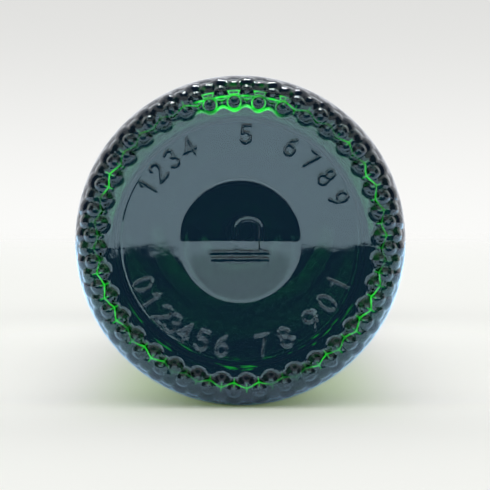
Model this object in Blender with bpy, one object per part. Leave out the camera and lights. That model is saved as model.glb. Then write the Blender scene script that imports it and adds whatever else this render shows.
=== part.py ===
"""Green glass soda bottle with a crown cap, lying on its side.

Each piece is turned about the bottle's axis. The pieces are modelled standing up, with local Z
running from the base to the mouth, and one empty lays them all down: local Z becomes world +Y,
and the body rests on world Z = 0 with the object's middle over the origin.
"""
import math

import bmesh
import bpy
from mathutils import Matrix, Vector

# Driving dimensions, in metres. Heights run up the bottle from the plane that its base stands on.
BODY_RADIUS = 0.0375
BRIM_HEIGHT = 0.298
WALL = 0.0029
BASE_THICKNESS = 0.0055
SHOULDER_HEIGHT = 0.1805
SHOULDER_DROP = 0.0265
NECK_ROOT_RADIUS = 0.0152
BORE_RADIUS = 0.0080

# Base: a narrow ring that the bottle stands on, a flat recess inside it and a shallow dimple.
HEEL_HEIGHT = 0.0040
HEEL_FILLET = 0.0085
STANDING_RING_RADIUS = 0.0326
STANDING_RING_HALF_WIDTH = 0.0009
RECESS_RADIUS = 0.0292
RECESS_DEPTH = 0.0024
DIMPLE_RADIUS = 0.0137
DIMPLE_DEPTH = 0.0022

# Crown finish: the bead that a crown cap grips, the groove under it and the carrying ring.
BEAD_RADIUS = 0.0133
BEAD_HEIGHT = 0.0048
GROOVE_RADIUS = 0.0124
GROOVE_HEIGHT = 0.0068
CARRYING_RING_RADIUS = 0.0140
CARRYING_RING_HEIGHT = 0.0055

# Crown cap
CROWN_DEPTH = 0.0060
CROWN_SHEET = 0.00024
CROWN_CORNER = 0.0021
CROWN_FLUTES = 21
FLUTE_SWELL = 0.0017
LINER_DISC = 0.0004
LINER_RIM = 0.0009
GAP = 0.0003

TURN_STEPS = 48
FLUTE_STEPS = 6
CORNER_STEPS = 3
SKIRT_STEPS = 3
ARC_SAG = 0.00008
LARGEST_ARC_STEP = math.radians(30)
MERGE = 0.00001

# Heights along the axis that follow from the sizes above.
LINER_UNDERSIDE = BRIM_HEIGHT + GAP
LINER_TOP = LINER_UNDERSIDE + LINER_RIM
PANEL_UNDERSIDE = LINER_TOP + GAP
CROWN_TOP = PANEL_UNDERSIDE + CROWN_SHEET
# The turned pieces have flat sides, so their corners stand a little outside the true circle.
FLAT_SIDE_GROWTH = 1 / math.cos(math.pi / TURN_STEPS)


def glass_material():
    material = bpy.data.materials.new("green_glass")
    material.use_nodes = True
    shader = material.node_tree.nodes["Principled BSDF"]
    shader.inputs["Base Color"].default_value = (0.01, 0.16, 0.06, 1)
    shader.inputs["Roughness"].default_value = 0.03
    shader.inputs["Metallic"].default_value = 0
    shader.inputs["IOR"].default_value = 1.52
    shader.inputs["Transmission Weight"].default_value = 1
    return material


def tinplate_material():
    material = bpy.data.materials.new("crown_tinplate")
    material.use_nodes = True
    shader = material.node_tree.nodes["Principled BSDF"]
    shader.inputs["Base Color"].default_value = (0.74, 0.66, 0.42, 1)
    shader.inputs["Roughness"].default_value = 0.28
    shader.inputs["Metallic"].default_value = 1
    return material


def liner_material():
    material = bpy.data.materials.new("liner_compound")
    material.use_nodes = True
    shader = material.node_tree.nodes["Principled BSDF"]
    shader.inputs["Base Color"].default_value = (0.78, 0.78, 0.74, 1)
    shader.inputs["Roughness"].default_value = 0.5
    shader.inputs["Metallic"].default_value = 0
    return material


def clear_scene():
    for item in list(bpy.data.objects):
        bpy.data.objects.remove(item, do_unlink=True)


def rounded(corners):
    """Outline points for (radius, height, fillet) corners, with an arc at each filleted corner."""
    points = []
    for index, (radius, height, fillet) in enumerate(corners):
        corner = Vector((radius, height))
        if fillet == 0:
            points.append(corner)
            continue
        back = (Vector(corners[index - 1][:2]) - corner).normalized()
        ahead = (Vector(corners[index + 1][:2]) - corner).normalized()
        half_angle = back.angle(ahead) / 2
        centre = corner + (back + ahead).normalized() * (fillet / math.sin(half_angle))
        spoke = corner + back * (fillet / math.tan(half_angle)) - centre
        turn = math.copysign(math.pi - 2 * half_angle, back.y * ahead.x - back.x * ahead.y)
        arc_step = min(LARGEST_ARC_STEP, 2 * math.acos(1 - ARC_SAG / fillet))
        steps = max(2, math.ceil(abs(turn) / arc_step))
        points += [centre + Matrix.Rotation(turn * step / steps, 2) @ spoke for step in range(steps + 1)]
    return points


def dish(radius, rim_height, depth, steps):
    """Points of a shallow spherical hollow, from its rim in to the axis."""
    sphere = (radius ** 2 + depth ** 2) / (2 * depth)
    rim_angle = math.asin(radius / sphere)
    centre_height = rim_height + depth - sphere
    angles = [rim_angle * (1 - step / steps) for step in range(steps + 1)]
    return [Vector((sphere * math.sin(angle), centre_height + sphere * math.cos(angle))) for angle in angles]


def turned_object(name, outline, material, parent):
    """A solid turned from an outline that starts and ends on the axis, given outer side downward."""
    mesh = bpy.data.meshes.new(name)
    points = [(radius * FLAT_SIDE_GROWTH, 0, height) for radius, height in outline]
    mesh.from_pydata(points, [(index, index + 1) for index in range(len(points) - 1)], [])
    piece = bpy.data.objects.new(name, mesh)
    bpy.context.collection.objects.link(piece)
    piece.parent = parent
    piece.rotation_euler.z = math.pi / TURN_STEPS
    screw = piece.modifiers.new("turn", "SCREW")
    screw.steps = TURN_STEPS
    screw.render_steps = TURN_STEPS
    screw.use_merge_vertices = True
    screw.merge_threshold = MERGE
    screw.use_smooth_shade = True
    mesh.materials.append(material)
    return piece


def inner_outline():
    """The bottle's inside, from the middle of its floor up to the bore."""
    floor = RECESS_DEPTH + BASE_THICKNESS
    inner_radius = BODY_RADIUS - WALL
    crown_of_floor = dish(DIMPLE_RADIUS, floor, DIMPLE_DEPTH / 2, 3)
    crown_of_floor.reverse()
    return crown_of_floor + rounded([
        (DIMPLE_RADIUS, floor, 0),
        (inner_radius, floor - 0.0004, 0.0065),
        (inner_radius, SHOULDER_HEIGHT, 0.042),
        (NECK_ROOT_RADIUS - 0.0042, SHOULDER_HEIGHT + SHOULDER_DROP, 0.036),
        (BORE_RADIUS + 0.0014, BRIM_HEIGHT - 0.024, 0.02),
        (BORE_RADIUS, BRIM_HEIGHT - 0.009, 0),
    ])[1:]


def outer_outline():
    """The mouth, the outside and the base, from the bore down to the middle of the underside."""
    bead_foot = BRIM_HEIGHT - BEAD_HEIGHT
    groove_top = bead_foot - 0.0016
    ring_top = groove_top - GROOVE_HEIGHT
    ring_foot = ring_top - CARRYING_RING_HEIGHT
    return rounded([
        (BORE_RADIUS, BRIM_HEIGHT - 0.009, 0),
        (BORE_RADIUS, BRIM_HEIGHT, 0.0010),
        (BEAD_RADIUS, BRIM_HEIGHT, 0.0030),
        (BEAD_RADIUS, bead_foot, 0.0007),
        (GROOVE_RADIUS, groove_top, 0.0006),
        (GROOVE_RADIUS, ring_top, 0.0006),
        (CARRYING_RING_RADIUS, ring_top - 0.0014, 0.0009),
        (CARRYING_RING_RADIUS, ring_foot, 0.0009),
        (BEAD_RADIUS, ring_foot - 0.0016, 0.0009),
        (NECK_ROOT_RADIUS, SHOULDER_HEIGHT + SHOULDER_DROP, 0.038),
        (BODY_RADIUS, SHOULDER_HEIGHT, 0.042),
        (BODY_RADIUS, HEEL_HEIGHT, HEEL_FILLET),
        (STANDING_RING_RADIUS + STANDING_RING_HALF_WIDTH, 0, 0.0008),
        (STANDING_RING_RADIUS - STANDING_RING_HALF_WIDTH, 0, 0.0005),
        (RECESS_RADIUS, RECESS_DEPTH, 0.0006),
        (DIMPLE_RADIUS, RECESS_DEPTH, 0),
    ])[1:] + dish(DIMPLE_RADIUS, RECESS_DEPTH, DIMPLE_DEPTH, 4)[1:]


def make_bottle(parent):
    outline = [(point.x, point.y) for point in inner_outline() + outer_outline()]
    return turned_object("bottle_glass", outline, glass_material(), parent)


def make_liner(parent):
    """A thin disc of sealing compound with a thicker rim that lies on the bottle's brim."""
    rim_outer = BEAD_RADIUS - 0.0006
    rim_inner = BORE_RADIUS + 0.0006
    outline = rounded([
        (0, LINER_TOP, 0),
        (rim_outer, LINER_TOP, 0.0003),
        (rim_outer, LINER_UNDERSIDE, 0.0003),
        (rim_inner, LINER_UNDERSIDE, 0.0003),
        (rim_inner - 0.0006, LINER_TOP - LINER_DISC, 0),
        (0, LINER_TOP - LINER_DISC, 0),
    ])
    return turned_object("crown_liner", [tuple(point) for point in outline], liner_material(), parent)


def crown_profile():
    """(radius, height, flute amount) rings of the crown's outer face, from the panel to the rim."""
    wall_radius = BEAD_RADIUS + GAP + CROWN_SHEET
    flat_radius = wall_radius - CROWN_CORNER
    rings = [(flat_radius * 0.5, CROWN_TOP, 0)]
    for step in range(CORNER_STEPS + 1):
        angle = math.pi / 2 * step / CORNER_STEPS
        rings.append((flat_radius + CROWN_CORNER * math.sin(angle),
                      CROWN_TOP - CROWN_CORNER * (1 - math.cos(angle)), 0))
    for step in range(1, SKIRT_STEPS + 1):
        share = step / SKIRT_STEPS
        rings.append((wall_radius, CROWN_TOP - CROWN_CORNER - (CROWN_DEPTH - CROWN_CORNER) * share, share))
    return rings


def make_crown(parent):
    """The crown's pressed sheet: a flat panel, a rounded corner and a skirt that swells into flutes."""
    around = CROWN_FLUTES * FLUTE_STEPS
    mesh_builder = bmesh.new()
    middle = mesh_builder.verts.new((0, 0, CROWN_TOP))
    rings = []
    for radius, height, share in crown_profile():
        ring = []
        for index in range(around):
            angle = 2 * math.pi * index / around
            crest = (0.5 + 0.5 * math.cos(CROWN_FLUTES * angle)) ** 0.8
            flute_radius = radius + FLUTE_SWELL * crest * share ** 1.3
            ring.append(mesh_builder.verts.new((flute_radius * math.cos(angle),
                                                flute_radius * math.sin(angle), height)))
        rings.append(ring)
    for index in range(around):
        after = (index + 1) % around
        mesh_builder.faces.new((middle, rings[0][index], rings[0][after]))
        for upper, lower in zip(rings, rings[1:]):
            mesh_builder.faces.new((upper[index], lower[index], lower[after], upper[after]))
    mesh = bpy.data.meshes.new("crown_shell")
    mesh_builder.to_mesh(mesh)
    mesh_builder.free()
    mesh.shade_smooth()
    mesh.materials.append(tinplate_material())
    crown = bpy.data.objects.new("crown_shell", mesh)
    bpy.context.collection.objects.link(crown)
    crown.parent = parent
    sheet = crown.modifiers.new("sheet", "SOLIDIFY")
    sheet.thickness = CROWN_SHEET
    sheet.offset = -1
    sheet.use_even_offset = True
    return crown


def lying_axis():
    """The empty that lays the pieces down along world +Y, centred over the origin."""
    axis = bpy.data.objects.new("bottle_axis", None)
    bpy.context.collection.objects.link(axis)
    axis.location = (0, -CROWN_TOP / 2, BODY_RADIUS)
    axis.rotation_euler = (-math.pi / 2, 0, 0)
    return axis


def main():
    clear_scene()
    axis = lying_axis()
    make_bottle(axis)
    make_crown(axis)
    make_liner(axis)


main()
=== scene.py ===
"""The looks of a green glass bottle that lies on its side. Blender 4.5, metres, +Z up.

The bottle lies along +Y with its base at the low end, and the camera looks straight at the base.
Glass outlines are in millimetres from the bottle's own axis and base plane, as (radius, height).
"""

import math

import bpy
import numpy as np
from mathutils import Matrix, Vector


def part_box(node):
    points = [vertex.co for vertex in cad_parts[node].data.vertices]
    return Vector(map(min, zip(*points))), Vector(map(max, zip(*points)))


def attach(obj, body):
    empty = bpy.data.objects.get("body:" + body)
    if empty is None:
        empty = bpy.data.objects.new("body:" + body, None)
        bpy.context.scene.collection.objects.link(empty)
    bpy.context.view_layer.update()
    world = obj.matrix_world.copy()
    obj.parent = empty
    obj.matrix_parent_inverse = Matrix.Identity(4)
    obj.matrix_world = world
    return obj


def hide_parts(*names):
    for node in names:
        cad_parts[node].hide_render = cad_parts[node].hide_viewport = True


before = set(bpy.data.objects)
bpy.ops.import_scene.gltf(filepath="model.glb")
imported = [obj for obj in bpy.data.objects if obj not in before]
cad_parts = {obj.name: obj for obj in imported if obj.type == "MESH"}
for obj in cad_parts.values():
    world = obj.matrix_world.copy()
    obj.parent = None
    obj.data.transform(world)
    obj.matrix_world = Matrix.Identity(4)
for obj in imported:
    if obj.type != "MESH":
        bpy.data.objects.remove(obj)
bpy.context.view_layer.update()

MM = 0.001
glass_low, glass_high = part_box("bottle_glass")
AXIS_Z = (glass_low.z + glass_high.z) / 2
BASE_Y = glass_low.y

# Outside of the glass (mm).
BODY_RADIUS = 37.5
HEEL_TOP = 12.0
NECK_TOP = (13.31, 277.5)
GLASS_HEIGHT = 298.0
BEAD_RADIUS = 13.3
BORE_RADIUS = 8.0
BORE_DEPTH = 9.0

# Inside of the glass (mm).
INSIDE_RADIUS = 34.7
INSIDE_FLOOR = 4.6
PUNT_RADIUS = 13.7
PUNT_HEIGHT = 7.5
PUNT_RISE = 1.1

# Base of the bottle (mm).
DIMPLE_RADIUS = 12.3
DIMPLE_DEPTH = 1.9
DISH_LIP = 0.5
RECESS_DEPTH = 1.7

# Knurling: three rows of round dots about the circle that the bottle stands on (mm).
DOTS = 36
DOT_PHASE = math.radians(7.5)
# Each row is (radius and height of a dot's foot, which way it faces in degrees, radius of its ball,
# how far it stands out, phase). The last two rows are broad balls inside the glass, which swell the
# slope under the dots.
DOT_ROWS = ((31.4, 1.25, -34, 1.8, 0.8, 0.0),
            (33.0, 0.65, -8, 1.9, 0.65, 0.5),
            (34.8, 1.75, 38, 3.0, 0.65, 0.0),
            (31.75, 5.1, 0, 4.0, 4.0, 0.0),
            (33.1, 5.0, 0, 4.0, 4.0, 0.5))
DOT_SEAM = 0.1
DOT_FILLET = 0.16
KNURL_FROM_RADIUS = 28.6
KNURL_TO_HEIGHT = 4.6

# Raised marks on the base (mm).
MARK_HEIGHT = 0.15
MARK_HALF_WIDTH = 0.2
MARK_EDGE = 0.11
MARK_ZONE = (20.2, 27.4)
DIGIT_MIDDLE = 0.31

# Mark in the dimple (mm): half width, height and edge of its strokes.
CENTRE_MARK = (0.35, 0.16, 0.3)

# Mould seam (mm).
SEAM_OFFSET = 0.9
SEAM_RADIUS = 26.0
SEAM_HEIGHT = 0.035
SEAM_WIDTH = 0.14

# Painted green light, as emission of the glass, in the valleys between the dots: it stands in for light
# that the glass carries round there (mm).
LINE_RADIUS = 32.25
LINE_SWING = 0.55
LINE_HALF_WIDTH = 0.23

# Brighter painted light at the top, also emission of the glass (mm). A loop of painted light lies
# about each dot of the inner row: how far its middle is from the axis, its radius and its half width.
LOOP = (31.2, 1.5, 0.24)
# A wavy band lies inside the loops: its radius, its swing and its half width.
WAVY_BAND = (29.85, -0.55, 0.5)
# A goblet stands over each loop. Its level bands: radius, half width, and how far aside from the
# dot's middle the light is gone and full.
GOBLET_BANDS = ((33.7, 0.24, 1.4, 1.2), (32.95, 0.18, 1.1, 0.9), (32.5, 0.32, 0.8, 1.1))
# Its flared sides: radius, half width and softness, then where their foot is and how they flare.
CUP_SIDE = (33.3, 0.55, 0.85)
CUP_FOOT = (32.9, 0.95)
CUP_FLARE = 0.45

# Points round the skin of the glass.
SEGMENTS_BODY = 128
SEGMENTS_KNURL = 720
SEGMENTS_FLAT = 144
SEGMENTS_MIDDLE = 72
SEGMENTS_CENTRE_MARK = 192


def clamp(value, low=0.0, high=1.0):
    return np.minimum(np.maximum(value, low), high)


def smooth_step(low, high, value):
    """0 at low and 1 at high, eased in between. Low may be above high."""
    share = clamp((value - low) / (high - low))
    return share * share * (3 - 2 * share)


def smooth_min(first, second, width):
    """The smaller of two values, blended over width where they are nearly the same."""
    mix = clamp(0.5 + 0.5 * (second - first) / width)
    return second + (first - second) * mix - width * mix * (1 - mix)


# ---------------------------------------------------------------- outlines

def rounded(corners, arc_step=math.radians(4)):
    """Points along the outline through (radius, height, fillet) corners, with each fillet as an arc."""
    points = [np.array(corners[0][:2], float)]
    for before, corner, after in zip(corners, corners[1:], corners[2:]):
        tip = np.array(corner[:2], float)
        fillet = corner[2]
        if not fillet:
            points.append(tip)
            continue
        back = np.array(before[:2], float) - tip
        ahead = np.array(after[:2], float) - tip
        back /= np.linalg.norm(back)
        ahead /= np.linalg.norm(ahead)
        half = math.acos(float(np.dot(back, ahead))) / 2
        setback = fillet / math.tan(half)
        middle = (back + ahead) / np.linalg.norm(back + ahead)
        centre = tip + middle * fillet / math.sin(half)
        start = tip + back * setback - centre
        end = tip + ahead * setback - centre
        turn = math.atan2(start[0] * end[1] - start[1] * end[0], float(np.dot(start, end)))
        steps = max(2, math.ceil(abs(turn) / arc_step))
        for step in range(steps + 1):
            angle = turn * step / steps
            points.append(centre + np.array((start[0] * math.cos(angle) - start[1] * math.sin(angle),
                                             start[0] * math.sin(angle) + start[1] * math.cos(angle))))
    points.append(np.array(corners[-1][:2], float))
    return np.array(points)


def dish(radius, rim_height, depth, lip):
    """A shallow round dish from its middle out to its rim, with its rim eased over by lip."""
    ball = (radius ** 2 + depth ** 2) / (2 * depth)
    radii = np.linspace(0, radius + 3 * lip, 80)
    heights = rim_height + depth - (ball - np.sqrt(ball ** 2 - np.minimum(radii, radius * 1.3) ** 2))
    eased = -smooth_min(-heights, np.full_like(radii, -rim_height), lip)
    return np.stack((radii, eased), 1)


def spaced(points, spacing):
    """The outline resampled at even steps of about that length."""
    lengths = np.concatenate(([0], np.cumsum(np.linalg.norm(np.diff(points, axis=0), axis=1))))
    count = max(1, round(lengths[-1] / spacing))
    places = np.linspace(0, lengths[-1], count + 1)
    return np.stack([np.interp(places, lengths, points[:, axis]) for axis in (0, 1)], 1)


def between(points, start, end):
    """The points of an outline whose radii lie between start and end."""
    return points[(points[:, 0] >= start) & (points[:, 0] <= end)]


# ---------------------------------------------------------------- a surface of rings

def even_angles(count):
    return np.arange(count) * (2 * math.pi / count)


class Rings:
    """A skin made of rings about one axis. Rings can differ in how many points they have."""

    def __init__(self):
        self.points = []
        self.faces = []
        self.count = 0
        self.last = None

    def pole(self, point):
        """One point on the axis, joined to the last ring if there is one."""
        self.points.append(np.array([point]))
        self.count += 1
        index = self.count - 1
        if self.last is not None:
            start, angles = self.last
            size = len(angles)
            self.faces += [(start + k, index, start + (k + 1) % size) for k in range(size)]
        self.last = (index, np.zeros(1))

    def ring(self, points, angles):
        """One more ring, joined to the last ring or pole if there is one."""
        start = self.count
        size = len(angles)
        self.points.append(points)
        self.count += size
        if self.last is not None:
            before, before_angles = self.last
            if len(before_angles) == 1:
                self.faces += [(before, start + k, start + (k + 1) % size) for k in range(size)]
            elif len(before_angles) == size and np.allclose(before_angles, angles):
                self.faces += [(before + k, start + k, start + (k + 1) % size, before + (k + 1) % size)
                               for k in range(size)]
            else:
                self.stitch(before, before_angles, start, angles)
        self.last = (start, angles)

    def stitch(self, first, first_angles, second, second_angles):
        """Triangles between two rings whose points are at different angles."""
        i = j = 0
        size_i, size_j = len(first_angles), len(second_angles)
        while i < size_i or j < size_j:
            next_i = first_angles[(i + 1) % size_i] + (2 * math.pi if i + 1 >= size_i else 0)
            next_j = second_angles[(j + 1) % size_j] + (2 * math.pi if j + 1 >= size_j else 0)
            here_i = first + i % size_i
            here_j = second + j % size_j
            if i < size_i and (j >= size_j or next_i <= next_j):
                self.faces.append((here_i, here_j, first + (i + 1) % size_i))
                i += 1
            else:
                self.faces.append((here_i, here_j, second + (j + 1) % size_j))
                j += 1

    def mesh(self, name):
        points = np.concatenate(self.points)
        mesh = bpy.data.meshes.new(name)
        mesh.from_pydata(points.tolist(), [], [face[::-1] for face in self.faces])
        mesh.update()
        mesh.shade_smooth()
        return mesh


def place(radius, height, angle):
    """World points for a radius and height in mm. Angles are clockwise from the top, seen from the base."""
    return np.stack((radius * np.sin(angle) * MM, BASE_Y + height * MM,
                     AXIS_Z + radius * np.cos(angle) * MM), -1)


# ---------------------------------------------------------------- raised marks on the base

def arc(centre_x, centre_y, radius_x, radius_y, start, end, steps=10):
    """A stroke along part of an oval, from a start to an end angle in degrees."""
    turns = np.radians(np.linspace(start, end, steps + 1))
    return [(centre_x + radius_x * math.cos(t), centre_y + radius_y * math.sin(t)) for t in turns]


# Plain digits in strokes, each on a field 0.62 wide and 1 high.
DIGITS = {
    "0": [arc(0.31, 0.5, 0.27, 0.5, 0, 360, 20)],
    "1": [[(0.14, 0.78), (0.34, 1.0), (0.34, 0.0)]],
    "2": [arc(0.31, 0.72, 0.27, 0.28, 160, -35) + [(0.04, 0.0), (0.6, 0.0)]],
    "3": [arc(0.3, 0.76, 0.26, 0.24, 150, -80) + arc(0.3, 0.26, 0.29, 0.26, 80, -150)],
    "4": [[(0.46, 0.0), (0.46, 1.0), (0.02, 0.3), (0.62, 0.3)]],
    "5": [[(0.56, 1.0), (0.12, 1.0), (0.08, 0.55)] + arc(0.3, 0.3, 0.29, 0.3, 120, -150)],
    "6": [arc(0.31, 0.29, 0.27, 0.29, 170, -190, 16), [(0.04, 0.3), (0.14, 0.72), (0.46, 1.0)]],
    "7": [[(0.03, 1.0), (0.6, 1.0), (0.22, 0.0)]],
    "8": [arc(0.31, 0.76, 0.22, 0.24, -90, 270, 16), arc(0.31, 0.26, 0.28, 0.26, -90, 270, 16)],
    "9": [arc(0.31, 0.71, 0.27, 0.29, 10, 370, 16), [(0.58, 0.7), (0.48, 0.28), (0.16, 0.0)]],
}

TOP_ANGLES = (-59, -49.5, -39.5, -28.5, 3, 28, 40.5, 53, 66)
BOTTOM_ANGLES = (246, 236.5, 226.5, 219.5, 211.5, 201, 190, 168, 155, 138, 125.5, 113.5)
# (digit, degrees clockwise from the top, inner radius mm, height mm, 1 if its head points outward)
MARKS = ([(digit, angle, 22.2, 3.9, 1) for digit, angle in zip("123456789", TOP_ANGLES)]
         + [(digit, angle, 21.6, 4.4, -1) for digit, angle in zip("012345678901", BOTTOM_ANGLES)])


def stroke_distance(x, y, stroke):
    """Distance from points to a broken line."""
    nearest = np.full(x.shape, 1e9)
    for (ax, ay), (bx, by) in zip(stroke, stroke[1:]):
        dx, dy = bx - ax, by - ay
        along = clamp(((x - ax) * dx + (y - ay) * dy) / max(dx * dx + dy * dy, 1e-9))
        nearest = np.minimum(nearest, np.hypot(x - ax - along * dx, y - ay - along * dy))
    return nearest


def ridge(distance, half_width=MARK_HALF_WIDTH, height=MARK_HEIGHT, edge=MARK_EDGE):
    """How far a raised stroke with a soft edge stands out."""
    return height * (1 - smooth_step(half_width - edge, half_width + edge, distance))


def digit_ridges(radius, angle):
    """How far the digits stand out at points of the base."""
    out = np.zeros(radius.shape)
    for digit, degrees, inner, tall, head in MARKS:
        middle = math.radians(degrees)
        off = (angle - middle + math.pi) % (2 * math.pi) - math.pi
        near = (np.abs(off) < 0.14) & (radius > inner - 1) & (radius < inner + tall + 1)
        if not near.any():
            continue
        along = radius[near] * np.sin(off[near]) * head / tall + DIGIT_MIDDLE
        up = (radius[near] * np.cos(off[near]) - inner) / tall
        if head < 0:
            up = 1 - up
        nearest = np.full(along.shape, 1e9)
        for stroke in DIGITS[digit]:
            nearest = np.minimum(nearest, stroke_distance(along, up, stroke) * tall)
        out[near] = np.maximum(out[near], ridge(nearest))
    return out


def centre_mark(radius, angle):
    """A plain mark in the dimple: an arch over two posts on a double bar."""
    x = radius * np.sin(angle)
    y = radius * np.cos(angle)
    strokes = ([(-0.9, -1.5), (-0.9, 3.2)], [(4.6, -1.5), (4.6, 3.2)],
               arc(1.85, 3.0, 2.75, 2.0, 180, 0),
               [(-6.6, -2.4), (6.2, -2.4)], [(-6.6, -3.9), (6.2, -3.9)])
    out = np.zeros(radius.shape)
    for stroke in strokes:
        out = np.maximum(out, ridge(stroke_distance(x, y, stroke), *CENTRE_MARK))
    return out


def seam_line(radius, angle):
    """The faint off-centre circle where two parts of the mould met."""
    x = radius * np.sin(angle) + SEAM_OFFSET
    y = radius * np.cos(angle)
    left = smooth_step(-8.0, -16.0, x) * smooth_step(20.0, 12.0, y)
    return SEAM_HEIGHT * left * np.exp(-((np.hypot(x, y) - SEAM_RADIUS) / SEAM_WIDTH) ** 2)


# ---------------------------------------------------------------- the knurled ring

def knurl_push(radius, height, angle, tilt, lean):
    """How far a point of the ring moves out along its lean to lie on the balls' surface."""
    pitch = 2 * math.pi / DOTS
    local = (angle - DOT_PHASE + pitch / 2) % pitch - pitch / 2
    lean_r, lean_h = np.sin(lean), -np.cos(lean)
    facing = np.cos(tilt - lean)

    def distance(push):
        """Below 0 while the pushed point is inside the balls or under the plain surface."""
        r = radius + push * lean_r
        h = height + push * lean_h
        balls = np.full(radius.shape, 9.0)
        for foot_radius, foot_height, facing_degrees, ball, stand, phase in DOT_ROWS:
            faces = math.radians(facing_degrees)
            row_radius = foot_radius - (ball - stand) * math.sin(faces)
            row_height = foot_height + (ball - stand) * math.cos(faces)
            for step in (-1, 0, 1):
                centre = (phase + step) * pitch
                dx = r * np.sin(local) - row_radius * math.sin(centre)
                dz = r * np.cos(local) - row_radius * math.cos(centre)
                to_ball = np.sqrt(dx * dx + dz * dz + (h - row_height) ** 2) - ball
                balls = smooth_min(balls, to_ball, DOT_SEAM)
        return smooth_min(push * facing, balls, DOT_FILLET)

    # The surface lies between no push and the furthest one, and each step halves the gap.
    furthest, halvings = 2.5, 26
    low = np.zeros(radius.shape)
    high = np.full(radius.shape, furthest)
    for _ in range(halvings):
        middle = (low + high) / 2
        inside = distance(middle) < 0
        low = np.where(inside, middle, low)
        high = np.where(inside, high, middle)
    return (low + high) / 2


# ---------------------------------------------------------------- the bottle

BORE_END = (BORE_RADIUS, GLASS_HEIGHT - BORE_DEPTH, 0)
BASE_OUTLINE = rounded([(MARK_ZONE[1], RECESS_DEPTH, 0), (31.5, RECESS_DEPTH, 0.2), (32.4, 0.75, 0.6),
                        (33.4, 0.75, 1.5), (35.4, 2.0, 3.0), (BODY_RADIUS, 5.7, 5.0),
                        (BODY_RADIUS, HEEL_TOP, 0)])
BODY_OUTLINE = rounded([(BODY_RADIUS, HEEL_TOP, 0), (BODY_RADIUS, 165.2, 42), (27.64, 192.2, 0),
                        (23.75, 196.8, 38), (14.84, 220.3, 0), (*NECK_TOP, 0)])
FINISH_OUTLINE = rounded([(*NECK_TOP, 0), (13.38, 277.9, 0.8), (14.0, 279.5, 0.8), (14.0, 283.0, 0.8),
                          (13.69, 283.7, 0.4), (12.6, 284.6, 0.4), (12.4, 285.1, 0.4),
                          (12.4, 291.4, 0.6), (12.48, 291.7, 0.6), (BEAD_RADIUS, 293.4, 0.5),
                          (BEAD_RADIUS, GLASS_HEIGHT, 3.0), (BORE_RADIUS, GLASS_HEIGHT, 1.0),
                          BORE_END], math.radians(14))
INSIDE_OUTLINE = rounded([BORE_END, (9.34, 274.7, 6), (9.42, 273.3, 0), (10.68, 220.2, 36),
                          (23.97, 192.4, 0), (INSIDE_RADIUS, 164.5, 42), (INSIDE_RADIUS, INSIDE_FLOOR, 3.1),
                          (31.0, INSIDE_FLOOR, 1.2), (27.5, 6.7, 6), (PUNT_RADIUS, PUNT_HEIGHT, 0)],
                         math.radians(6))


def build_glass():
    """The whole skin of the glass, from the dimple out and up to the mouth, then down the inside."""
    skin = Rings()
    skin.pole(place(0.0, RECESS_DEPTH + DIMPLE_DEPTH, 0.0))

    def add(outline, angles, push=None, first=False):
        """Rings along an outline. Its first point is left out where the last ring already has it."""
        directions = np.gradient(outline, axis=0)
        tilts = np.arctan2(directions[:, 1], directions[:, 0])
        for (radius, height), tilt in list(zip(outline, tilts))[0 if first else 1:]:
            radii = np.full(len(angles), radius)
            heights = np.full(len(angles), height)
            if push is not None:
                radii, heights = push(radii, heights, angles, np.full(len(angles), tilt))
            skin.ring(place(radii, heights, angles), angles)

    def emboss(marks):
        def push(radii, heights, angles, tilts):
            out = marks(radii, angles)
            return radii + out * np.sin(tilts), heights - out * np.cos(tilts)
        return push

    def knurl(radii, heights, angles, tilts):
        leans = np.maximum(tilts, 0)
        out = knurl_push(radii, heights, angles, tilts, leans)
        return radii + out * np.sin(leans), heights - out * np.cos(leans)

    def flat(start, end, spacing):
        return spaced(np.array([(start, RECESS_DEPTH), (end, RECESS_DEPTH)]), spacing)

    # Outside of the base. The flat ring starts at flat_start, past the dimple's eased lip.
    flat_start = 15.6
    dimple = dish(DIMPLE_RADIUS, RECESS_DEPTH, DIMPLE_DEPTH, DISH_LIP)
    add(spaced(between(dimple, 0.2, 1.6), 0.3), even_angles(SEGMENTS_MIDDLE), first=True)
    add(spaced(between(dimple, 1.4, 7.6), 0.2), even_angles(SEGMENTS_CENTRE_MARK), emboss(centre_mark))
    add(spaced(between(dimple, 7.6, flat_start), 0.4), even_angles(SEGMENTS_FLAT))
    add(flat(flat_start, MARK_ZONE[0], 0.9), even_angles(SEGMENTS_FLAT))
    add(flat(*MARK_ZONE, 0.2), mark_angles(),
        emboss(lambda r, a: np.maximum(digit_ridges(r, a), seam_line(r, a))))
    base = spaced(BASE_OUTLINE, 0.04)
    radii, heights = base.T
    knurled = (radii > KNURL_FROM_RADIUS) & (heights < KNURL_TO_HEIGHT)
    add(spaced(base[radii <= KNURL_FROM_RADIUS], 0.4), even_angles(SEGMENTS_KNURL // 2))
    add(spaced(base[knurled], 0.28), even_angles(SEGMENTS_KNURL), knurl, first=True)
    add(spaced(base[heights >= KNURL_TO_HEIGHT], 1.0), even_angles(SEGMENTS_BODY), first=True)

    # Outside of the body, neck and mouth.
    add(spaced(BODY_OUTLINE, 3.2), even_angles(SEGMENTS_BODY))
    add(FINISH_OUTLINE, even_angles(SEGMENTS_BODY))

    # Inside, with closer rings below the top of the heel.
    wall = spaced(INSIDE_OUTLINE, 0.25)
    low = wall[:, 1] < HEEL_TOP
    high_wall = spaced(wall[~low], 3.6)
    add(high_wall, even_angles(SEGMENTS_BODY))
    add(spaced(np.concatenate((high_wall[-1:], wall[low])), 0.6), even_angles(SEGMENTS_BODY))
    under = dish(PUNT_RADIUS, PUNT_HEIGHT, PUNT_RISE, DISH_LIP)
    add(spaced(between(under, 1.0, 13.6)[::-1], 1.2), even_angles(SEGMENTS_BODY))
    skin.pole(place(0.0, PUNT_HEIGHT + PUNT_RISE, 0.0))
    return skin.mesh("bottle_body")


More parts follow.
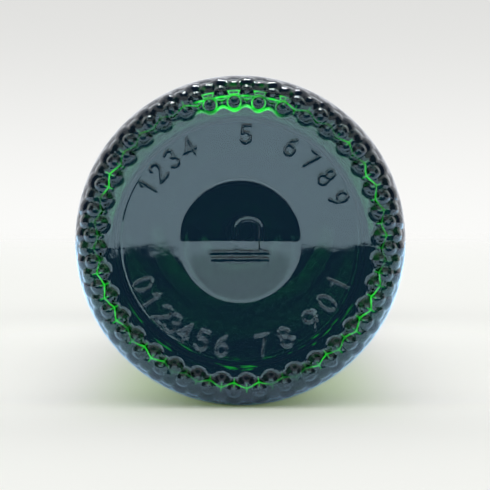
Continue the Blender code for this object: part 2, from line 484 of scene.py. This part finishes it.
def mark_angles():
    """Angles close together where there are digits, and further apart elsewhere."""
    fine, coarse, reach = math.radians(0.36), math.radians(1.5), math.radians(4.6)
    middles = [math.radians(mark[1]) for mark in MARKS]
    angles, angle = [], 0.0
    while angle < 2 * math.pi - fine / 2:
        angles.append(angle)
        near = min(abs((angle - middle + math.pi) % (2 * math.pi) - math.pi) for middle in middles)
        angle += fine if near < reach else coarse
    return np.array(angles)


# ---------------------------------------------------------------- materials

class Graph:
    """Short ways to add and join shader nodes."""

    def __init__(self, tree):
        self.tree = tree
        tree.nodes.clear()

    def add(self, kind, settings=None, **inputs):
        made = self.tree.nodes.new(kind)
        for key, value in (settings or {}).items():
            setattr(made, key, value)
        for key, value in inputs.items():
            self.feed(made.inputs[key.replace("_", " ")], value)
        return made

    def feed(self, socket, value):
        if isinstance(value, bpy.types.NodeSocket):
            self.tree.links.new(value, socket)
        elif value is not None:
            socket.default_value = value

    def math(self, operation, *values):
        made = self.tree.nodes.new("ShaderNodeMath")
        made.operation = operation
        for socket, value in zip(made.inputs, values):
            self.feed(socket, value)
        return made.outputs[0]

    def length(self, first, second):
        """The length of a flat vector."""
        return self.math("SQRT", self.math("ADD", self.math("MULTIPLY", first, first),
                                           self.math("MULTIPLY", second, second)))

    def between(self, value, low, high):
        """0 below low, 1 above high, eased in between. Low may be above high."""
        made = self.tree.nodes.new("ShaderNodeMapRange")
        made.interpolation_type = "SMOOTHSTEP"
        made.clamp = True
        for key, number in (("Value", value), ("From Min", low), ("From Max", high)):
            self.feed(made.inputs[key], number)
        return made.outputs[0]

    def mix(self, share, first, second):
        made = self.tree.nodes.new("ShaderNodeMix")
        made.data_type = "RGBA"
        self.feed(made.inputs[0], share)
        self.feed(made.inputs[6], first)
        self.feed(made.inputs[7], second)
        return made.outputs[2]

    def times(self, *shares):
        """The product of values from 0 to 1."""
        result = shares[0]
        for share in shares[1:]:
            result = self.math("MULTIPLY", result, share)
        return result

    def off(self, value, middle):
        """How far a value is from a middle, either way."""
        return self.math("ABSOLUTE", self.math("SUBTRACT", value, middle))

    def position(self):
        return self.add("ShaderNodeNewGeometry").outputs["Position"]

    def noise(self, vector, scale, detail):
        return self.add("ShaderNodeTexNoise", Vector=vector, Scale=scale, Detail=detail).outputs[0]


def srgb(*levels):
    """A linear colour from 0 to 255 screen levels."""
    return tuple(((level / 255 + 0.055) / 1.055) ** 2.4 if level > 10 else level / 255 / 12.92
                 for level in levels) + (1.0,)


def new_material(name):
    material = bpy.data.materials.new(name)
    material.use_nodes = True
    return material, Graph(material.node_tree)


def painted_light_lines(graph, position):
    """How strongly each point of the base glows with painted green light, standing in for light the glass
    carries round.
    """
    parts = graph.add("ShaderNodeSeparateXYZ", Vector=position)
    across = graph.math("DIVIDE", parts.outputs[0], MM)
    up = graph.math("DIVIDE", graph.math("SUBTRACT", parts.outputs[2], AXIS_Z), MM)
    height = graph.math("DIVIDE", graph.math("SUBTRACT", parts.outputs[1], BASE_Y), MM)
    radius = graph.length(across, up)
    angle = graph.math("ARCTAN2", across, up)
    turn = graph.math("MULTIPLY", graph.math("SUBTRACT", angle, DOT_PHASE), float(DOTS))
    wave = graph.math("COSINE", turn)
    lines = graph.math("MAXIMUM", zigzag_line(graph, position, radius, wave),
                       goblets(graph, position, radius, angle, turn, wave))
    lines = graph.math("MAXIMUM", lines, low_streaks(graph, radius, angle, up))
    return graph.math("MULTIPLY", lines, graph.between(height, 3.4, 2.6))


def zigzag_line(graph, position, radius, wave):
    """A thin uneven line of painted light that zigzags between the dots, with short spokes at its corners.
    """
    zigzag = graph.math("MULTIPLY", graph.math("ARCSINE", wave), 2 / math.pi)
    line = graph.math("MULTIPLY_ADD", zigzag, LINE_SWING, LINE_RADIUS)
    stray = 0.7
    line = graph.math("MULTIPLY_ADD", graph.noise(position, 420.0, 2.0), stray,
                      graph.math("SUBTRACT", line, stray / 2))
    off_line = graph.off(radius, line)
    thread = graph.between(off_line, LINE_HALF_WIDTH, LINE_HALF_WIDTH * 0.3)
    spoke = graph.math("MULTIPLY", graph.between(graph.math("ABSOLUTE", wave), 0.985, 0.997),
                       graph.between(off_line, 1.2, 0.7))
    lines = graph.math("MAXIMUM", thread, graph.math("MULTIPLY", spoke, 0.7))
    patches = graph.between(graph.noise(position, 110.0, 2.0), 0.4, 0.62)
    return graph.math("MULTIPLY", lines, graph.math("MULTIPLY_ADD", patches, 0.72, 0.1))


def goblets(graph, position, radius, angle, turn, wave):
    """Bright goblets of painted light over the inner row's dots, and a wavy band inside them, only near the
    top.
    """
    def band(middle, reach, soft=0.35):
        return graph.between(graph.off(radius, middle), reach, reach * soft)

    off_dot = graph.math("DIVIDE", graph.math("ARCTAN2", graph.math("SINE", turn), wave), float(DOTS))
    aside = graph.math("ABSOLUTE", graph.math("MULTIPLY", radius, graph.math("SINE", off_dot)))
    outward = graph.math("MULTIPLY", radius, graph.math("COSINE", off_dot))

    loop_middle, loop_radius, loop_half_width = LOOP
    reach = graph.length(aside, graph.math("SUBTRACT", outward, loop_middle))
    blaze = graph.between(graph.off(reach, loop_radius), loop_half_width, loop_half_width * 0.3)

    foot_radius, foot_aside = CUP_FOOT
    flare = graph.math("MULTIPLY_ADD", graph.math("SUBTRACT", radius, foot_radius), CUP_FLARE, foot_aside)
    sides = graph.math("MULTIPLY", band(*CUP_SIDE), graph.between(graph.off(aside, flare), 0.22, 0.08))
    blaze = graph.math("MAXIMUM", blaze, sides)

    wavy_middle, wavy_swing, wavy_reach = WAVY_BAND
    wavy = band(graph.math("MULTIPLY_ADD", wave, wavy_swing, wavy_middle), wavy_reach)
    blaze = graph.math("MAXIMUM", blaze, wavy)
    for middle, half_width, gone_at, full_at in GOBLET_BANDS:
        level = graph.math("MULTIPLY", band(middle, half_width), graph.between(aside, gone_at, full_at))
        blaze = graph.math("MAXIMUM", blaze, level)

    patches = graph.between(graph.noise(position, 300.0, 2.0), 0.36, 0.6)
    blaze = graph.math("MULTIPLY", blaze, graph.math("MULTIPLY_ADD", patches, 0.9, 0.3))
    near_top = graph.between(graph.math("ABSOLUTE", angle), math.radians(20), math.radians(15))
    return graph.math("MULTIPLY", blaze, near_top)


def low_streaks(graph, radius, angle, up):
    """Faint slanting streaks of painted light low on the flat ring's outer edge."""
    ripple = graph.add("ShaderNodeCombineXYZ", X=graph.math("MULTIPLY", angle, 5.0),
                       Y=graph.math("MULTIPLY_ADD", angle, 1.5, graph.math("MULTIPLY", radius, 1.6)))
    streaks = graph.between(graph.noise(ripple.outputs[0], 1.0, 2.0), 0.6, 0.68)
    on_edge = graph.math("MULTIPLY", graph.between(radius, 25.5, 28.0), graph.between(radius, 29.4, 28.8))
    streaks = graph.times(streaks, on_edge, graph.between(up, -12.0, -20.0))
    return graph.math("MULTIPLY", streaks, 0.3)


def glass_material():
    material, graph = new_material("green_glass")
    position = graph.position()
    specks = graph.noise(position, 900.0, 3.0)
    waves = graph.noise(position, 55.0, 2.0)
    rough = graph.math("MULTIPLY_ADD", graph.between(specks, 0.62, 0.8), 0.05, 0.012)
    grain = graph.math("MULTIPLY_ADD", specks, 0.03, waves)
    bump = graph.add("ShaderNodeBump", Strength=0.06, Distance=0.001, Height=grain)
    shader = graph.add("ShaderNodeBsdfPrincipled", Roughness=rough, IOR=1.52, Transmission_Weight=1.0,
                       Normal=bump.outputs[0])
    shader.inputs["Base Color"].default_value = (1.0, 1.0, 1.0, 1.0)
    # The glass glows green along the painted light lines, though it is no lamp.
    shader.inputs["Emission Color"].default_value = (0.02, 0.8, 0.03, 1.0)
    graph.feed(shader.inputs["Emission Strength"], painted_light_lines(graph, position))
    depth = graph.add("ShaderNodeVolumeAbsorption", Density=2600.0)
    depth.inputs["Color"].default_value = (0.0, 0.78, 0.18, 1.0)
    graph.add("ShaderNodeOutputMaterial", Surface=shader.outputs[0], Volume=depth.outputs[0])
    return material


def tinplate_material():
    material, graph = new_material("crown_tinplate")
    position = graph.position()
    scuffs = graph.noise(position, 1800.0, 4.0)
    patches = graph.noise(position, 260.0, 3.0)
    colour = graph.mix(graph.between(patches, 0.35, 0.7), (0.36, 0.24, 0.07, 1), (0.48, 0.34, 0.12, 1))
    rough = graph.math("MULTIPLY_ADD", scuffs, 0.25, 0.18)
    bump = graph.add("ShaderNodeBump", Strength=0.12, Distance=0.0002, Height=scuffs)
    shader = graph.add("ShaderNodeBsdfPrincipled", Base_Color=colour, Metallic=1.0, Roughness=rough,
                       Normal=bump.outputs[0])
    graph.add("ShaderNodeOutputMaterial", Surface=shader.outputs[0])
    return material


def liner_material():
    material, graph = new_material("liner_compound")
    grain = graph.noise(graph.position(), 1400.0, 3.0)
    colour = graph.mix(grain, (0.7, 0.7, 0.66, 1), (0.84, 0.84, 0.8, 1))
    bump = graph.add("ShaderNodeBump", Strength=0.2, Distance=0.0002, Height=grain)
    shader = graph.add("ShaderNodeBsdfPrincipled", Base_Color=colour, Roughness=0.62,
                       Normal=bump.outputs[0])
    graph.add("ShaderNodeOutputMaterial", Surface=shader.outputs[0])
    return material


# ---------------------------------------------------------------- studio

# Light levels of the room, in red, green and blue.
TABLE_NEAR = (0.1, 0.33, 0.62)
TABLE_SIDE = (1.5, 1.95, 2.5)
TABLE_BACK = (0.7, 0.78, 0.9)
CEILING = (0.75, 0.85, 1.0)
OVERHEAD = (0.08, 0.16, 0.32)
FLANK = (0.1, 0.17, 0.3)
BACK_WALL = (1.25, 1.3, 1.4)
STRIP_LAMP = (20.0, 21.0, 22.0)
WINDOW_LOW = (2.3, 3.35, 4.05)
WINDOW_HIGH = (1.5, 2.2, 2.7)
THROUGH_FRONT = (0.5, 0.5, 0.5)
THROUGH_BACK = (0.1, 0.11, 0.12)
THROUGH_HIGH = (0.15, 0.16, 0.17)
THROUGH_SIDE = (2.8, 2.8, 2.8)
THROUGH_STRIP = (12.0, 12.0, 12.0)
THROUGH_TABLE = (0.03, 0.035, 0.035)
LAMPS_LOW = (0.7, 0.7, 0.7)
LAMPS_HIGH = (1.05, 1.05, 1.04)
# Elevations in degrees over which the room gives way to the table.
TABLE_EDGE = (-1.95, -2.1)
# Just short of 1, so that rounding never takes the arccosine out of range.
NEARLY_ONE = 0.9999


def studio_world():
    """A room of light and dark panels, which differs between camera, mirrored and transmitted rays.

    Panel edges are in degrees: elevation is above the floor, and front_angle is how far round from
    the camera's side.
    """
    world = bpy.data.worlds.new("studio")
    bpy.context.scene.world = world
    world.use_nodes = True
    graph = Graph(world.node_tree)
    rays = graph.add("ShaderNodeLightPath")
    towards = graph.add("ShaderNodeTexCoord")
    parts = graph.add("ShaderNodeSeparateXYZ", Vector=towards.outputs["Generated"])
    back, up = parts.outputs[1:]
    elevation = graph.math("MULTIPLY", graph.math("ARCSINE", up), 180 / math.pi)
    flat_length = graph.math("SQRT", graph.math("SUBTRACT", 1.0, graph.math("MULTIPLY", up, up)))
    backdrop = graph.mix(graph.between(elevation, -2.0, 8.0), srgb(251, 251, 249), srgb(224, 224, 222))

    facing = graph.math("DIVIDE", graph.math("MULTIPLY", back, -NEARLY_ONE), flat_length)
    front_angle = graph.math("MULTIPLY", graph.math("ARCCOSINE", facing), 180 / math.pi)

    def lit(share, under, over):
        return graph.mix(share, under, over + (1.0,))

    below_table = graph.between(elevation, *TABLE_EDGE)

    # What the glass reflects.
    ceiling = lit(graph.between(elevation, 60.0, 72.0), CEILING + (1.0,), OVERHEAD)
    flank = graph.times(graph.between(front_angle, 38.0, 46.0), graph.between(front_angle, 105.0, 92.0),
                        graph.between(elevation, 52.0, 40.0))
    ceiling = lit(flank, ceiling, FLANK)
    wall = graph.times(graph.between(front_angle, 95.0, 125.0), graph.between(elevation, 55.0, 40.0))
    mirrored = lit(wall, ceiling, BACK_WALL)
    strip = graph.times(graph.between(front_angle, 150.0, 160.0), graph.between(elevation, 58.0, 60.0),
                        graph.between(elevation, 72.0, 69.0))
    mirrored = lit(strip, mirrored, STRIP_LAMP)
    pane = lit(graph.between(elevation, 2.0, 9.0), WINDOW_LOW + (1.0,), WINDOW_HIGH)
    window = graph.times(graph.between(front_angle, 34.0, 31.0), graph.between(elevation, 31.0, 28.0))
    mirrored = graph.mix(window, mirrored, pane)
    table = lit(graph.between(front_angle, 40.0, 55.0), TABLE_NEAR + (1.0,), TABLE_SIDE)
    table = lit(graph.between(front_angle, 100.0, 125.0), table, TABLE_BACK)
    mirrored = graph.mix(below_table, mirrored, table)

    # What shines through the glass.
    through = lit(graph.between(front_angle, 105.0, 130.0), THROUGH_FRONT + (1.0,), THROUGH_BACK)
    through = lit(graph.between(elevation, 35.0, 50.0), through, THROUGH_HIGH)
    side = graph.times(graph.between(front_angle, 78.0, 84.0), graph.between(front_angle, 104.0, 98.0),
                       graph.between(elevation, 45.0, 38.0))
    through = lit(side, through, THROUGH_SIDE)
    through = lit(strip, through, THROUGH_STRIP)
    under_camera = graph.times(graph.between(front_angle, 60.0, 50.0), below_table)
    through = lit(under_camera, through, THROUGH_TABLE)

    # Light sampling carries no kind of ray, so the lamps come first and the rest replaces them.
    lamps = lit(graph.between(elevation, -5.0, 30.0), LAMPS_LOW + (1.0,), LAMPS_HIGH)
    room = graph.mix(rays.outputs["Is Glossy Ray"], lamps, mirrored)
    room = graph.mix(rays.outputs["Is Transmission Ray"], room, through)
    colour = graph.mix(rays.outputs["Is Camera Ray"], room, backdrop)
    shader = graph.add("ShaderNodeBackground", Color=colour, Strength=1.0)
    graph.add("ShaderNodeOutputWorld", Surface=shader.outputs[0])


def floor_material():
    """White paint that fades out with distance, with a faint painted glow near the bottle that stands in
    for light coming through the glass.
    """
    material, graph = new_material("floor")
    rays = graph.add("ShaderNodeLightPath")
    glossy = rays.outputs["Is Glossy Ray"]
    position = graph.position()
    far = graph.add("ShaderNodeVectorMath", {"operation": "LENGTH"})
    graph.feed(far.inputs[0], position)
    distance = far.outputs["Value"]
    parts = graph.add("ShaderNodeSeparateXYZ", Vector=position)
    along = parts.outputs[1]
    aside = graph.math("ABSOLUTE", parts.outputs[0])

    # The floor fades far off, and mirrored rays don't see it in front of the base.
    fade = graph.between(distance, 0.3, 1.4)
    hidden = graph.math("MULTIPLY", glossy, graph.between(along, BASE_Y - 0.03, BASE_Y - 0.05))
    gone = graph.math("MAXIMUM", fade, hidden)

    # Mirrored rays see the floor painted brighter and bluer than it is, as a painted reflection.
    beside = graph.math("MULTIPLY", graph.between(distance, 0.16, 0.4), graph.between(along, 0.12, -0.08))
    mirrored = graph.mix(beside, (1.5, 2.25, 3.0, 1.0), (1.75, 1.95, 2.45, 1.0))
    paint = graph.add("ShaderNodeBsdfDiffuse", Color=graph.mix(glossy, srgb(243, 244, 241), mirrored))

    # Only the camera sees this painted glow: green under the bottle, and plain beside it, where it lightens
    # the shade.
    glow = graph.mix(graph.between(aside, 0.022, 0.045), (0.13, 0.2, 0.06, 1.0), (0.2, 0.2, 0.19, 1.0))
    near = graph.times(graph.between(along, 0.13, 0.02), graph.between(aside, 0.13, 0.04),
                       graph.between(along, BASE_Y - 0.04, BASE_Y + 0.05))
    painted_glow = graph.add("ShaderNodeEmission", Color=glow,
                       Strength=graph.math("MULTIPLY", near, rays.outputs["Is Camera Ray"]))
    lit_paint = graph.add("ShaderNodeAddShader")
    graph.feed(lit_paint.inputs[0], paint.outputs[0])
    graph.feed(lit_paint.inputs[1], painted_glow.outputs[0])
    clear = graph.add("ShaderNodeBsdfTransparent")
    mixed = graph.add("ShaderNodeMixShader")
    graph.feed(mixed.inputs[0], gone)
    graph.feed(mixed.inputs[1], lit_paint.outputs[0])
    graph.feed(mixed.inputs[2], clear.outputs[0])
    graph.add("ShaderNodeOutputMaterial", Surface=mixed.outputs[0])
    return material


def studio_floor():
    rings = Rings()
    rings.pole(np.array((0.0, 0.0, 0.0)))
    angles = even_angles(96)
    for radius in (0.1, 0.2, 0.4, 0.8, 1.6, 3.0):
        points = np.stack((radius * np.cos(angles), radius * np.sin(angles), np.zeros(len(angles))), 1)
        rings.ring(points, angles)
    floor = bpy.data.objects.new("floor", rings.mesh("floor"))
    bpy.context.scene.collection.objects.link(floor)
    floor.data.materials.append(floor_material())


# Camera, as offsets from the middle of the base (m) and its tilt (degrees).
CAMERA_OFFSET = (0.00105, -0.35, 0.01155)
CAMERA_TILT = 88.0
CAMERA_LENS = 115.5


def add_camera():
    camera = bpy.data.cameras.new("camera")
    camera.sensor_width = 36.0
    camera.lens = CAMERA_LENS
    holder = bpy.data.objects.new("camera", camera)
    aside, back, up = CAMERA_OFFSET
    holder.location = (aside, BASE_Y + back, AXIS_Z + up)
    holder.rotation_euler = (math.radians(CAMERA_TILT), 0, 0)
    bpy.context.scene.collection.objects.link(holder)
    bpy.context.scene.camera = holder


def show(name, mesh, material, body, node):
    """A visual piece that stands in for one CAD node and moves with its body."""
    mesh.materials.append(material)
    piece = bpy.data.objects.new(name, mesh)
    bpy.context.scene.collection.objects.link(piece)
    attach(piece, body)
    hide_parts(node)


def finish_cad(node, material):
    """A CAD node that stays gets its real material."""
    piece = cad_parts[node]
    piece.data.materials.clear()
    piece.data.materials.append(material)


add_camera()
studio_world()
studio_floor()
show("bottle_body", build_glass(), glass_material(), "bottle", "bottle_glass")
finish_cad("crown_shell", tinplate_material())
finish_cad("crown_liner", liner_material())

scene = bpy.context.scene
scene.view_settings.view_transform = "Standard"
scene.cycles.max_bounces = 24
scene.cycles.transmission_bounces = 20
scene.cycles.glossy_bounces = 8
